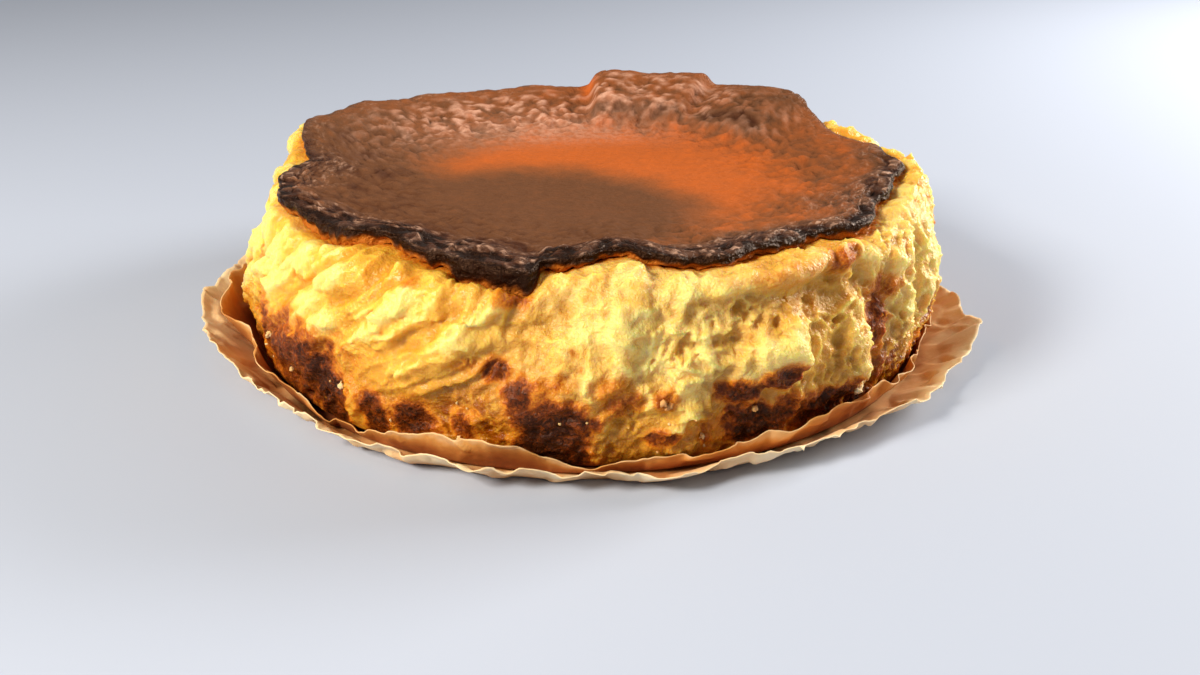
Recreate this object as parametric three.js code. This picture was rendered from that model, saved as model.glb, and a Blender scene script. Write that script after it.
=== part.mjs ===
// A burnt Basque-style cheesecake, still sitting in the two sheets of baking paper it was baked in.
// Millimetres, +Z up. The origin is the middle of the flat base, and the front of the cake faces -Y.
// Every form is a half section that changes with its bearing, the angle from the front towards +X.
import * as THREE from "three";
import { ParametricGeometry } from "three/addons/geometries/ParametricGeometry.js";
import { mergeVertices } from "three/addons/utils/BufferGeometryUtils.js";

// Driving dimensions
const TIN_RADIUS = 115; // a 23 cm springform tin
const RIM_HEIGHT = 60; // the burnt rim above the table
const DISH_DEPTH = 11.5; // how far the middle sinks as the cake cools
const SHEET = 0.7; // thickness of one sheet of baking paper, drawn thicker than real paper
const GAP = 0.5; // between the sheets, and between paper and cake
const SHEET_BEND = 2; // how far in from its corner a sheet starts to lift

// Sizes worked out from them
const OUTER_LEVEL = SHEET / 2;
const INNER_LEVEL = OUTER_LEVEL + SHEET + GAP;
const CAKE_BASE = INNER_LEVEL + SHEET / 2 + GAP;
const SKIN_RADIUS = TIN_RADIUS - 13; // the burnt skin shrinks back from the tin
const DISH_FLOOR = RIM_HEIGHT - DISH_DEPTH;
const BOWL = { mean: 2.7, swing: 0.8, front: -20 }; // shallow in front, flatter with a steep wall behind
const FOOT_ROUND = 4;
const FOOT_INSET = 3; // the foot is pinched in by the paper's corner
const BELLY = 2.5; // the side swells past the tin's size once it is out of the tin
const LEAN_IN = 1.5; // the top of the side leans in by this much
const SHOULDER_HEIGHT = RIM_HEIGHT - 16; // where the side starts to turn in under the skin
const LIP_REACH = 4; // the skin rounds over into its edge across this much
const LIP_TUCK = 1.5; // and its edge stands out this far over the shoulder
const LIP_THICKNESS = 4;
const CREST_WIDTH = 4; // from the skin's edge in to the top of the rim
const CREST_RISE = 0.5;
const CREST_START = 2; // the crest only begins this far in from the lip
const RIM_FADE = 22; // how far into the dish the rim's ups and downs are felt
const TONGUE_FADE = 8; // and those of the tongue
const SHOULDER_SWELL = 1.5; // the shoulder is fuller than a quarter round

// Where the burnt skin's edge leaves its mean circle: bearing and spread in degrees, and in mm how far out,
// how far up, and how far its lower edge hangs down
const SKIN_FEATURES = [
  { bearing: -33, spread: 7, out: -3, up: 0.5, hang: -0.5 },
  { bearing: -46, spread: 16, out: 2, up: 0, hang: 2.5 }, // hanging left of the tongue
  { bearing: -60, spread: 7, out: 4, up: 2, hang: -0.5 }, // left corner
  { bearing: -86, spread: 8, out: -8, up: 0, hang: 0 }, // notch in the left edge
  { bearing: -106, spread: 8, out: 2, up: 2, hang: 0 },
  { bearing: -118, spread: 20, out: 3, up: 3, hang: 1 },
  { bearing: 180, spread: 60, out: -7, up: 1.5, hang: 1 }, // the back, drawn in and up
  { bearing: 108, spread: 10, out: -7, up: -1, hang: 0 }, // notch in the right edge
  { bearing: 82, spread: 6, out: 2, up: 0, hang: 0 }, // right tip
  { bearing: 48, spread: 7, out: 5, up: -0.5, hang: 1.5 }, // drooping right corner
  { bearing: 21, spread: 8, out: 4, up: 0, hang: 0.5 },
  { bearing: 5, spread: 6, out: -4, up: 1, hang: -0.5 },
];
// The tongue of skin that hangs over the front, long on its left and steep on its right
const TONGUE = { start: -31, full: -12, tip: -7.8, end: -6.4, out: 6, up: -1, hang: 4.5 };
// Two puffed lobes at the back: where their ends are, how steep those are, how high and how wide
const LOBES = [
  { bearing: 164.5, spread: 15, sharp: 14, rise: 7, width: 24 },
  { bearing: 134, spread: 15, sharp: 4, rise: 6.5, width: 26 },
];
const LOBE_TOP = 0.35; // the top of a lobe's roll, as a share of its width in from the edge
const LOBE_ROLL = 0.6; // and how far the roll reaches to each side of it
// Where the shoulder stands further out or in than the rest, and where curd swells up past the skin's edge
const SHOULDER_FEATURES = [
  { bearing: -12, spread: 10, out: -3, up: 0 }, // pressed in under the tongue
  { bearing: -84, spread: 28, out: -5.5, up: 0 }, // drawn in with the skin on the left
  { bearing: -90, spread: 9, out: 0, up: 1.5 },
  { bearing: 108, spread: 12, out: 0, up: 1 },
  { bearing: 75, spread: 18, out: 1, up: 3 },
  { bearing: 30, spread: 12, out: 2, up: 2 },
];
// How high each sheet's torn edge stands, above its mean height
const INNER_EDGE_FEATURES = [
  { bearing: -80, spread: 22, out: 0, up: 11 }, // highest on the left
  { bearing: -40, spread: 12, out: 0, up: -5 },
  { bearing: -16, spread: 9, out: 0, up: 3 },
  { bearing: 2, spread: 7, out: 0, up: -4 },
  { bearing: 16, spread: 9, out: 0, up: -3 },
  { bearing: 42, spread: 15, out: 0, up: 4 },
  { bearing: 72, spread: 12, out: 0, up: -2 },
  { bearing: -160, spread: 24, out: 0, up: 4 },
];
const OUTER_EDGE_FEATURES = [
  { bearing: -88, spread: 26, out: 2, up: 5 },
  { bearing: -42, spread: 14, out: -2.5, up: -1 },
  { bearing: 75, spread: 22, out: 6, up: -1 }, // spread flat on the right
  { bearing: 0, spread: 30, out: -1.5, up: -2 },
  { bearing: 165, spread: 26, out: 1, up: 2 },
];

// Creases that the paper's folds left in the side: long slanting ones in front, steeper ones elsewhere
const FRONT_CREASES = [
  { bearing: -13, middle: 43, slant: 38, length: 34, height: 3 },
  { bearing: -27, middle: 44, slant: 36, length: 44, height: 3 },
  { bearing: -38, middle: 37, slant: 42, length: 36, height: 2.6 },
  { bearing: -52, middle: 42, slant: 48, length: 34, height: 2.4 },
  { bearing: -22, middle: 24, slant: 40, length: 26, height: 2 },
  { bearing: 4, middle: 34, slant: 78, length: 30, height: 2.4 },
  { bearing: 15, middle: 30, slant: 70, length: 34, height: 2.2 },
  { bearing: 27, middle: 38, slant: 58, length: 26, height: 2 },
  { bearing: 40, middle: 33, slant: 100, length: 30, height: 2.4 },
  { bearing: 55, middle: 32, slant: 84, length: 34, height: 2.6 },
];
const CREASE_WIDTH = 5;
const VALLEY = 0.7; // the valley under a crease, as a share of its height
const VALLEY_BELOW = 1.6; // and how many widths it lies below the crease
const BACK_CREASES = 18; // the others, from one end of the front round the back to the other
const BACK_START = 62;
const BACK_MIDDLE = 34;
const BACK_SLANT = 68;
const BACK_LENGTH = 32;
const BACK_HEIGHT = 2.5;
const CREASE_FOOT = { from: 2, to: 18 }; // creases and lumps grow in between these heights
// Waves that run right round: how many to a turn, and how high
const SIDE_LUMPS = [
  { waves: 9, height: 0.9, twist: 1 / 9 },
  { waves: 16, height: 0.7, twist: -1 / 7 },
];
const SKIN_RIPPLE = { waves: 23, height: 0.6 };
const RIM_RIPPLE = { waves: 17, height: 0.5 };
const INNER_TEAR = { waves: 31, height: 1.2 };
const OUTER_TEAR = { waves: 27, height: 1.4 };
const OUTER_SCALLOP = { waves: 19, height: 1.2 };
// The crumpled paper: how high and how far out its edge stands, and its pleats
const INNER_RISE = 8;
const INNER_LEAN = 0.25; // outwards for each millimetre up
const INNER_PLEAT = 0.16; // further out still on a pleat, for each millimetre up
const INNER_PLEATS = 22;
const OUTER_RISE = 9;
const OUTER_REACH = 5;
const OUTER_CURL = 1.3; // the outer sheet lies flatter at its foot than at its edge
const OUTER_PLEAT = 1.8;
const OUTER_PLEATS = 19;

// Facets: steps round the cake, the same for cake and paper so that their flats line up
const AROUND = 120;
const DISH_SPACING = 1.35; // the skin's rings lie closer together near its edge
const SLOPE_STEP = 0.02; // along a sheet's midline, to find its slope

const radians = THREE.MathUtils.degToRad;
const TURN = 2 * Math.PI;
const bell = (x) => Math.exp(-x * x);
const bearingGap = (a, b) => THREE.MathUtils.euclideanModulo(a - b + Math.PI, TURN) - Math.PI;
// A repeatable value from 0 to 1 for each whole number
const scatter = (n) => THREE.MathUtils.euclideanModulo(Math.sin(n * 12.9898) * 43758.5453, 1);
const wave = ({ waves, height }, bearing) => height * Math.sin(waves * bearing);
// Folds round a turn, unevenly spaced: 1 on a fold and 0 between two
function pleat(folds, bearing) {
  const uneven = folds * bearing + 2 * Math.sin(4 * bearing);
  return Math.abs(2 * THREE.MathUtils.euclideanModulo(uneven / TURN, 1) - 1);
}

// The sum of a list of features at a bearing, for one of their sizes
function featureSum(features, size, bearing) {
  const share = (f) => f[size] * bell(bearingGap(bearing, radians(f.bearing)) / radians(f.spread));
  return features.reduce((sum, f) => sum + share(f), 0);
}

// One of the tongue's sizes at a bearing
function tongue(size, bearing) {
  const turn = THREE.MathUtils.radToDeg(bearingGap(bearing, 0));
  const left = THREE.MathUtils.smoothstep(turn, TONGUE.start, TONGUE.full);
  const right = 1 - THREE.MathUtils.smoothstep(turn, TONGUE.tip, TONGUE.end);
  return TONGUE[size] * left * right;
}

// How far the lobes stand above the skin, at a bearing and a distance in from its edge
function lobeHeight(bearing, inwards) {
  const share = ({ bearing: middle, spread, sharp, rise, width }) => {
    const along = Math.abs(bearingGap(bearing, radians(middle))) / radians(spread);
    const across = (inwards / width - LOBE_TOP) / LOBE_ROLL;
    return rise * Math.exp(-(along ** sharp) - across ** 4);
  };
  return LOBES.reduce((sum, lobe) => sum + share(lobe), 0);
}

// The skin without its tongue, and the edge that the tongue is part of
const skinRadius = (bearing) =>
  SKIN_RADIUS + featureSum(SKIN_FEATURES, "out", bearing) + wave(SKIN_RIPPLE, bearing);
const rimHeight = (bearing) =>
  RIM_HEIGHT + featureSum(SKIN_FEATURES, "up", bearing) + wave(RIM_RIPPLE, bearing);
const edgeRadius = (bearing) => skinRadius(bearing) + tongue("out", bearing);
const edgeHeight = (bearing) => rimHeight(bearing) + tongue("up", bearing);
function lipLow(bearing) {
  const hang = featureSum(SKIN_FEATURES, "hang", bearing) + tongue("hang", bearing);
  return edgeHeight(bearing) - LIP_THICKNESS - hang;
}

// The creases round the back are spaced evenly and then scattered
const spread = (n, width) => width * (scatter(n) - 0.5);
const backCreases = Array.from({ length: BACK_CREASES }, (_, i) => ({
  bearing: BACK_START + ((360 - 2 * BACK_START) * (i + 0.7 * scatter(i))) / BACK_CREASES,
  middle: BACK_MIDDLE + spread(i + 50, 14),
  slant: BACK_SLANT + spread(i + 100, 60),
  length: BACK_LENGTH + spread(i + 150, 16),
  height: BACK_HEIGHT + spread(i + 200, 1.8),
}));
const creases = [...FRONT_CREASES, ...backCreases];

// Each crease is a ridge with a valley on its lower side
function creaseRelief(bearing, height) {
  let relief = 0;
  for (const c of creases) {
    const x = bearingGap(bearing, radians(c.bearing)) * TIN_RADIUS;
    const y = height - c.middle;
    const slant = radians(c.slant);
    const along = x * Math.cos(slant) + y * Math.sin(slant);
    const across = -x * Math.sin(slant) + y * Math.cos(slant);
    const ridge = bell(across / CREASE_WIDTH);
    const valley = VALLEY * bell(across / CREASE_WIDTH + VALLEY_BELOW);
    relief += c.height * bell(along / (0.6 * c.length)) * (ridge - valley);
  }
  return relief;
}

// Broad soft lumps all round the side
function lumpRelief(bearing, height) {
  const share = (lump) => lump.height * Math.sin(lump.waves * bearing + lump.twist * height);
  return SIDE_LUMPS.reduce((sum, lump) => sum + share(lump), 0);
}

// The side without its foot: a belly that leans in towards the top, with creases that fade out at the foot
function sideRadius(bearing, height) {
  const up = height / SHOULDER_HEIGHT;
  const pinch = FOOT_INSET * (1 - up) ** 2 + LEAN_IN * up ** 4;
  const belly = BELLY * Math.sin(Math.PI * Math.min(up, 1)) - pinch;
  const shoulder = featureSum(SHOULDER_FEATURES, "out", bearing) * up ** 2;
  const fade = THREE.MathUtils.smoothstep(height, CREASE_FOOT.from, CREASE_FOOT.to);
  const relief = lumpRelief(bearing, height) + creaseRelief(bearing, height);
  return TIN_RADIUS + belly + shoulder + fade * relief;
}

// The spans of the cake's half section, from the middle of the base to the middle of the dish
const baseSpan = (t, bearing) =>
  new THREE.Vector2(t * (sideRadius(bearing, CAKE_BASE + FOOT_ROUND) - FOOT_ROUND), CAKE_BASE);

function footSpan(t, bearing) {
  const angle = (t - 1) * (Math.PI / 2);
  const radius = sideRadius(bearing, CAKE_BASE + FOOT_ROUND) - FOOT_ROUND * (1 - Math.cos(angle));
  return new THREE.Vector2(radius, CAKE_BASE + FOOT_ROUND * (1 + Math.sin(angle)));
}

function sideSpan(t, bearing) {
  const height = THREE.MathUtils.lerp(CAKE_BASE + FOOT_ROUND, SHOULDER_HEIGHT, t);
  return new THREE.Vector2(sideRadius(bearing, height), height);
}

function shoulderSpan(t, bearing) {
  const angle = t * (Math.PI / 2);
  const neck = edgeRadius(bearing) - LIP_TUCK;
  const side = sideRadius(bearing, SHOULDER_HEIGHT);
  const swell = (SHOULDER_SWELL + featureSum(SHOULDER_FEATURES, "up", bearing)) * Math.sin(2 * angle) ** 2;
  return new THREE.Vector2(
    neck + (side - neck) * Math.cos(angle),
    SHOULDER_HEIGHT + (lipLow(bearing) - SHOULDER_HEIGHT) * Math.sin(angle) + swell,
  );
}

function lipSpan(t, bearing) {
  const angle = (t - 0.5) * Math.PI;
  const back = t < 0.5 ? LIP_TUCK : LIP_REACH;
  const top = edgeHeight(bearing) + lobeHeight(bearing, 0);
  return new THREE.Vector2(
    edgeRadius(bearing) - back * (1 - Math.cos(angle)),
    THREE.MathUtils.lerp(lipLow(bearing), top, (1 + Math.sin(angle)) / 2),
  );
}

// The skin from the top of the lip to the middle: over a low crest, then down a bowl to its floor
function dishSpan(t, bearing) {
  const edge = skinRadius(bearing) - LIP_REACH;
  const inwards = edge * t ** DISH_SPACING;
  const radius = edge - inwards;
  const tongueShare = bell(inwards / TONGUE_FADE);
  const bowl = BOWL.mean - BOWL.swing * Math.cos(bearing - radians(BOWL.front));
  const dish = DISH_DEPTH * (radius / edge) ** bowl;
  const crest = CREST_RISE * bell(inwards / CREST_WIDTH - 1) * (1 - bell(inwards / CREST_START));
  const rim = (rimHeight(bearing) - RIM_HEIGHT) * bell(inwards / RIM_FADE) + lobeHeight(bearing, inwards);
  return new THREE.Vector2(
    radius + tongueShare * tongue("out", bearing),
    DISH_FLOOR + dish + crest + rim + tongueShare * tongue("up", bearing),
  );
}

const CAKE_SPANS = [
  { steps: 1, at: baseSpan },
  { steps: 2, at: footSpan },
  { steps: 12, at: sideSpan },
  { steps: 4, at: shoulderSpan },
  { steps: 5, at: lipSpan },
  { steps: 12, at: dishSpan },
];

// The wall of each sheet's midline: up from the foot of the cake and out to its torn edge
function innerWall(t, bearing) {
  const rise = INNER_RISE + featureSum(INNER_EDGE_FEATURES, "up", bearing) + wave(INNER_TEAR, bearing);
  const height = rise * t;
  const lean = (INNER_LEAN + INNER_PLEAT * pleat(INNER_PLEATS, bearing)) * height;
  const radius = sideRadius(bearing, INNER_LEVEL + height) + GAP + SHEET / 2 + lean;
  return new THREE.Vector2(radius, INNER_LEVEL + height);
}

function outerWall(t, bearing) {
  const rise = OUTER_RISE + featureSum(OUTER_EDGE_FEATURES, "up", bearing) + wave(OUTER_TEAR, bearing);
  const spill = featureSum(OUTER_EDGE_FEATURES, "out", bearing) + wave(OUTER_SCALLOP, bearing);
  const height = rise * t ** OUTER_CURL;
  const clear = 2 * (GAP + SHEET) + (INNER_LEAN + INNER_PLEAT) * height;
  const radius = sideRadius(bearing, INNER_LEVEL + height) + clear + (OUTER_REACH + spill) * t;
  const fold = OUTER_PLEAT * (pleat(OUTER_PLEATS, bearing) - 0.5) * t;
  return new THREE.Vector2(radius, OUTER_LEVEL + height + fold);
}

// Both faces of a sheet: out along its underside, round its edge, and back along its top.
// The midline runs from the middle of the disc at -1, by its corner at 0, to its torn edge at 1.
function sheetSpans(wall, level, wallSteps) {
  const midline = (t, bearing) => {
    const corner = wall(Math.max(t, 0), bearing);
    return t < 0 ? new THREE.Vector2(corner.x * (1 + t), level) : corner;
  };
  const face = (t, bearing, side) => {
    const along = midline(t + SLOPE_STEP, bearing).sub(midline(t - SLOPE_STEP, bearing)).normalize();
    const across = t < 0 ? new THREE.Vector2(0, 1) : new THREE.Vector2(-along.y, along.x);
    return midline(t, bearing).addScaledVector(across, (side * SHEET) / 2);
  };
  const bend = SHEET_BEND / TIN_RADIUS;
  return [
    { steps: 1, at: (t, bearing) => face(-1 + (1 - bend) * t, bearing, -1) },
    { steps: 1, at: (t, bearing) => face(bend * (t - 1), bearing, -1) },
    { steps: wallSteps, at: (t, bearing) => face(t, bearing, -1) },
    { steps: 1, at: (t, bearing) => face(1, bearing, 2 * t - 1) },
    { steps: wallSteps, at: (t, bearing) => face(1 - t, bearing, 1) },
    { steps: 1, at: (t, bearing) => face(-bend * t, bearing, 1) },
    { steps: 1, at: (t, bearing) => face(-bend - (1 - bend) * t, bearing, 1) },
  ];
}

// Turns a list of spans into one closed surface round the Z axis
function turned(spans) {
  const stations = spans.flatMap(({ steps, at }) =>
    Array.from({ length: steps }, (_, i) => (bearing) => at(i / steps, bearing)),
  );
  const last = spans[spans.length - 1];
  stations.push((bearing) => last.at(1, bearing));
  const surface = (u, v, target) => {
    const bearing = TURN * (u % 1);
    const { x: radius, y: height } = stations[Math.round(v * (stations.length - 1))](bearing);
    target.set(radius * Math.sin(bearing), -radius * Math.cos(bearing), height);
  };
  const geometry = new ParametricGeometry(surface, AROUND, stations.length - 1);
  geometry.deleteAttribute("normal");
  geometry.deleteAttribute("uv");
  const closed = mergeVertices(geometry, 1e-3);
  closed.computeVertexNormals();
  return closed;
}

function piece(name, spans, material) {
  const mesh = new THREE.Mesh(turned(spans), material);
  mesh.name = name;
  return mesh;
}

const curd = new THREE.MeshStandardMaterial({ color: 0xe2b458, roughness: 0.55, metalness: 0 });
const bakingPaper = new THREE.MeshStandardMaterial({ color: 0xb9824f, roughness: 0.75, metalness: 0 });

const cheesecake = new THREE.Group();
cheesecake.add(
  piece("cheesecake", CAKE_SPANS, curd),
  piece("inner_paper", sheetSpans(innerWall, INNER_LEVEL, 3), bakingPaper),
  piece("outer_paper", sheetSpans(outerWall, OUTER_LEVEL, 4), bakingPaper),
);

export default cheesecake;
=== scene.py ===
import itertools
import math

import bmesh
import bpy
import numpy as np
from mathutils import Matrix, Vector
from mathutils.kdtree import KDTree


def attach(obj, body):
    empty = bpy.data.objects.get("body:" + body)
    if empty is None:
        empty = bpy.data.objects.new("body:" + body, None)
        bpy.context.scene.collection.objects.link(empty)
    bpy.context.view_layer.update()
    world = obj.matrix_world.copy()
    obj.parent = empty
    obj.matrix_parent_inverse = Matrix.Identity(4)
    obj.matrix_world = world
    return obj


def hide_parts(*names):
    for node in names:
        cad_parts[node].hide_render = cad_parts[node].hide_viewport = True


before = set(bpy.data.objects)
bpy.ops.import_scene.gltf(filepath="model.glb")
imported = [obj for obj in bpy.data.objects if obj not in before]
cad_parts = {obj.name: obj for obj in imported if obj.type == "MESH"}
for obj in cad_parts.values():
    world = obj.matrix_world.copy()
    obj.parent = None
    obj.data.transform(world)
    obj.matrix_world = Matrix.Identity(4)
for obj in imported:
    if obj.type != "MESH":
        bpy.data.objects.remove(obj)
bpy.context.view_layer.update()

# The curd: one uncut round of baked cheese custard from a 23 cm tin, creased where the paper was folded
# against it. A grid is rolled into its round, uneven form, and folds, tears and holes then move its points
# along the normals. Sizes are in mm, and bearings run from the front towards +X.
MM = 0.001
TIN_RADIUS = 115.0
RIM_HEIGHT = 60.0
CAKE_BASE = 2.25
SKIN_RADIUS = TIN_RADIUS - 13
FOOT_ROUND = 4.0
FOOT_INSET = 3.0
BELLY = 2.5
LEAN_IN = 1.5
SHOULDER_HEIGHT = RIM_HEIGHT - 16
SHOULDER_SWELL = 1.5
LIP_TUCK = 1.5
LIP_THICKNESS = 4.0
CROWN_SINK = 24.0
SKIN_RIPPLE = 0.6
SKIN_RIPPLES = 23
RIM_RIPPLE = 0.5
RIM_RIPPLES = 17
CURD_AROUND = 1000
# Bearing and spread in degrees; out, up and hang, which lowers the lip's edge alone, in mm
SKIN_FEATURES = [
    dict(bearing=-33, spread=7, out=-3, up=0.5, hang=-0.5),
    dict(bearing=-46, spread=16, out=2, up=0, hang=2.5),
    dict(bearing=-60, spread=7, out=4, up=2, hang=-0.5),
    dict(bearing=-86, spread=8, out=-8, up=0, hang=0),
    dict(bearing=-106, spread=8, out=2, up=2, hang=0),
    dict(bearing=-118, spread=20, out=3, up=3, hang=1),
    dict(bearing=180, spread=60, out=-7, up=1.5, hang=1),
    dict(bearing=108, spread=10, out=-7, up=-1, hang=0),
    dict(bearing=82, spread=6, out=2, up=0, hang=0),
    dict(bearing=48, spread=7, out=5, up=-0.5, hang=1.5),
    dict(bearing=21, spread=8, out=4, up=0, hang=0.5),
    dict(bearing=5, spread=6, out=-4, up=1, hang=-0.5),
]
TONGUE = dict(start=-31, full=-12, tip=-7.8, end=-6.4, out=6, up=-1, hang=4.5)
SHOULDER_FEATURES = [
    dict(bearing=-12, spread=10, out=-3, up=0),
    dict(bearing=-84, spread=28, out=-7.5, up=0),
    dict(bearing=-90, spread=9, out=0, up=1.5),
    dict(bearing=108, spread=12, out=0, up=1),
    dict(bearing=75, spread=18, out=1, up=3),
    dict(bearing=30, spread=12, out=2, up=2),
]
FRONT_CREASES = [
    dict(bearing=-13, middle=43, slant=38, length=34, height=1.8),
    dict(bearing=-27, middle=44, slant=36, length=44, height=1.8),
    dict(bearing=-38, middle=37, slant=42, length=36, height=1.6),
    dict(bearing=-52, middle=42, slant=48, length=34, height=1.5),
    dict(bearing=-22, middle=24, slant=40, length=26, height=1.3),
    dict(bearing=4, middle=34, slant=78, length=30, height=2.4),
    dict(bearing=15, middle=30, slant=70, length=34, height=2.2),
    dict(bearing=27, middle=38, slant=58, length=26, height=2),
    dict(bearing=40, middle=33, slant=100, length=30, height=2.4),
    dict(bearing=55, middle=32, slant=84, length=34, height=2.6),
]
CREASE_WIDTH = 5.0
VALLEY = 0.7
VALLEY_BELOW = 1.6
BACK_CREASES = 18
BACK_START = 62
# Height of each wave of lumps in mm, how many go round, and the mm of height that turn them by a radian
LUMPS = [(0.9, 9, 9), (0.7, 16, -7)]
draw = np.random.default_rng(23)
LATTICE = draw.permutation(256)
SLOPES = draw.normal(size=(256, 3))
SLOPES /= np.linalg.norm(SLOPES, axis=1)[:, None]


def bell(x):
    return np.exp(-x * x)


def ramp(low, high, x):
    share = np.clip((x - low) / (high - low), 0, 1)
    return share * share * (3 - 2 * share)


def bearing_gap(a, degrees):
    return (a - math.radians(degrees) + math.pi) % (2 * math.pi) - math.pi


def near(bearing, degrees, spread):
    """1 at a bearing, fading to 0 on both sides over a spread in degrees."""
    return bell(bearing_gap(bearing, degrees) / math.radians(spread))


def scatter(n):
    """A fixed number between 0 and 1 that seems drawn at random."""
    return (math.sin(n * 12.9898) * 43758.5453) % 1


def feature_sum(features, size, bearing):
    total = np.zeros_like(bearing)
    for f in features:
        total += f[size] * near(bearing, f["bearing"], f["spread"])
    return total


def place(radius, bearing, height):
    return np.stack([radius * np.sin(bearing), -radius * np.cos(bearing), height + 0 * bearing], axis=1)


def grain(points, size, seed):
    """Smooth noise, mostly between -0.7 and 0.7, that changes over lengths of the given size."""
    at = points / size + 37.7 * seed
    cell = np.floor(at).astype(int)
    within = at - cell
    ease = within**3 * (within * (within * 6 - 15) + 10)
    total = np.zeros(len(points))
    for corner in itertools.product((0, 1), repeat=3):
        x, y, z = (cell + corner).T & 255
        slope = SLOPES[LATTICE[(LATTICE[(LATTICE[x] + y) & 255] + z) & 255]]
        weight = np.where(corner, ease, 1 - ease).prod(axis=1)
        total += weight * (slope * (within - corner)).sum(axis=1)
    return 1.4 * total


def back_crease(i):
    return dict(
        bearing=BACK_START + (360 - 2 * BACK_START) * (i + 0.7 * scatter(i)) / BACK_CREASES,
        middle=34 + 14 * (scatter(i + 50) - 0.5),
        slant=68 + 60 * (scatter(i + 100) - 0.5),
        length=32 + 16 * (scatter(i + 150) - 0.5),
        height=2.5 + 1.8 * (scatter(i + 200) - 0.5),
    )


CREASES = FRONT_CREASES + [back_crease(i) for i in range(BACK_CREASES)]


def crease_relief(bearing, height):
    relief = np.zeros_like(bearing)
    for c in CREASES:
        x = bearing_gap(bearing, c["bearing"]) * TIN_RADIUS
        y = height - c["middle"]
        slant = math.radians(c["slant"])
        along = x * math.cos(slant) + y * math.sin(slant)
        across = -x * math.sin(slant) + y * math.cos(slant)
        crest = np.exp(0.35 - np.hypot(1.25 * across / CREASE_WIDTH, 0.35))
        ridge = crest - VALLEY * bell(across / CREASE_WIDTH + VALLEY_BELOW)
        relief += c["height"] * bell(along / (0.6 * c["length"])) * ridge
    return relief


def lump_relief(bearing, height):
    return sum(out * np.sin(waves * bearing + height / twist) for out, waves, twist in LUMPS)


def side_radius(bearing, height):
    up = height / SHOULDER_HEIGHT
    belly = BELLY * np.sin(math.pi * np.minimum(up, 1)) - FOOT_INSET * (1 - up) ** 2 - LEAN_IN * up**4
    shoulder = feature_sum(SHOULDER_FEATURES, "out", bearing) * up**2
    relief = lump_relief(bearing, height) + crease_relief(bearing, height)
    return TIN_RADIUS + belly + shoulder + ramp(2, 18, height) * relief


def tongue(size, bearing):
    """The tongue of skin that hangs over the front, long on its left and steep on its right."""
    turn = np.degrees(bearing)
    grown = ramp(TONGUE["start"], TONGUE["full"], turn)
    return TONGUE[size] * grown * ramp(TONGUE["end"], TONGUE["tip"], turn)


def skin_radius(bearing):
    ripple = SKIN_RIPPLE * np.sin(SKIN_RIPPLES * bearing)
    return SKIN_RADIUS + feature_sum(SKIN_FEATURES, "out", bearing) + ripple


def overhang(bearing, fine=1):
    """How far the ragged edge stands out from the skin's radius, with some or all of its fine raggedness."""
    ring = place(SKIN_RADIUS, bearing, 0)
    return tongue("out", bearing) + 1.8 * grain(ring, 10, 1) + 0.8 * fine * grain(ring, 3.4, 2)


def neck_radius(bearing, fine=1):
    return skin_radius(bearing) + overhang(bearing, fine) - LIP_TUCK


def rim_height(bearing):
    return RIM_HEIGHT + feature_sum(SKIN_FEATURES, "up", bearing) + RIM_RIPPLE * np.sin(RIM_RIPPLES * bearing)


def lip_low(bearing, fine=1):
    ring = place(SKIN_RADIUS, bearing, 0)
    hang = feature_sum(SKIN_FEATURES, "hang", bearing) + tongue("hang", bearing) - tongue("up", bearing)
    drips = 1.6 * grain(ring, 7, 3) + 0.9 * fine * grain(ring, 2.8, 4)
    drips *= 1 + 0.2 * tongue("hang", bearing)
    return rim_height(bearing) - LIP_THICKNESS - hang - drips


def base_span(t, bearing):
    foot = side_radius(bearing, np.full_like(bearing, CAKE_BASE + FOOT_ROUND)) - FOOT_ROUND
    return t * foot, np.full_like(bearing, CAKE_BASE)


def foot_span(t, bearing):
    angle = (t - 1) * math.pi / 2
    side = side_radius(bearing, np.full_like(bearing, CAKE_BASE + FOOT_ROUND))
    return side - FOOT_ROUND * (1 - np.cos(angle)), CAKE_BASE + FOOT_ROUND * (1 + np.sin(angle))


def side_span(t, bearing):
    height = CAKE_BASE + FOOT_ROUND + (SHOULDER_HEIGHT - CAKE_BASE - FOOT_ROUND) * t
    return side_radius(bearing, height), height


def shoulder_span(t, bearing):
    angle = t * math.pi / 2
    fine = ramp(0.6, 1, t)
    neck = neck_radius(bearing, fine)
    side = side_radius(bearing, np.full_like(bearing, SHOULDER_HEIGHT))
    swell = SHOULDER_SWELL + feature_sum(SHOULDER_FEATURES, "up", bearing)
    rise = (lip_low(bearing, fine) - SHOULDER_HEIGHT) * np.sin(angle) + swell * np.sin(2 * angle) ** 2
    return neck + (side - neck) * np.cos(angle), SHOULDER_HEIGHT + rise


def crown_span(t, bearing):
    """Out of sight under the skin."""
    neck = neck_radius(bearing)
    return neck * (1 - t), lip_low(bearing) + (RIM_HEIGHT - CROWN_SINK - lip_low(bearing)) * t**0.7


def read(mesh, attribute):
    values = np.zeros(len(mesh.vertices))
    mesh.attributes[attribute].data.foreach_get("value", values)
    return values


def write(mesh, attribute, values):
    mesh.attributes.new(attribute, "FLOAT", "POINT").data.foreach_set("value", values.astype(np.float32))


def points_of(mesh):
    points = np.zeros(3 * len(mesh.vertices))
    mesh.vertices.foreach_get("co", points)
    return points.reshape(-1, 3) / MM


def set_points(mesh, points):
    mesh.vertices.foreach_set("co", (points * MM).ravel())
    mesh.update()


def normals_of(mesh):
    normals = np.zeros(3 * len(mesh.vertices))
    mesh.vertices.foreach_get("normal", normals)
    return normals.reshape(-1, 3)


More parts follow.
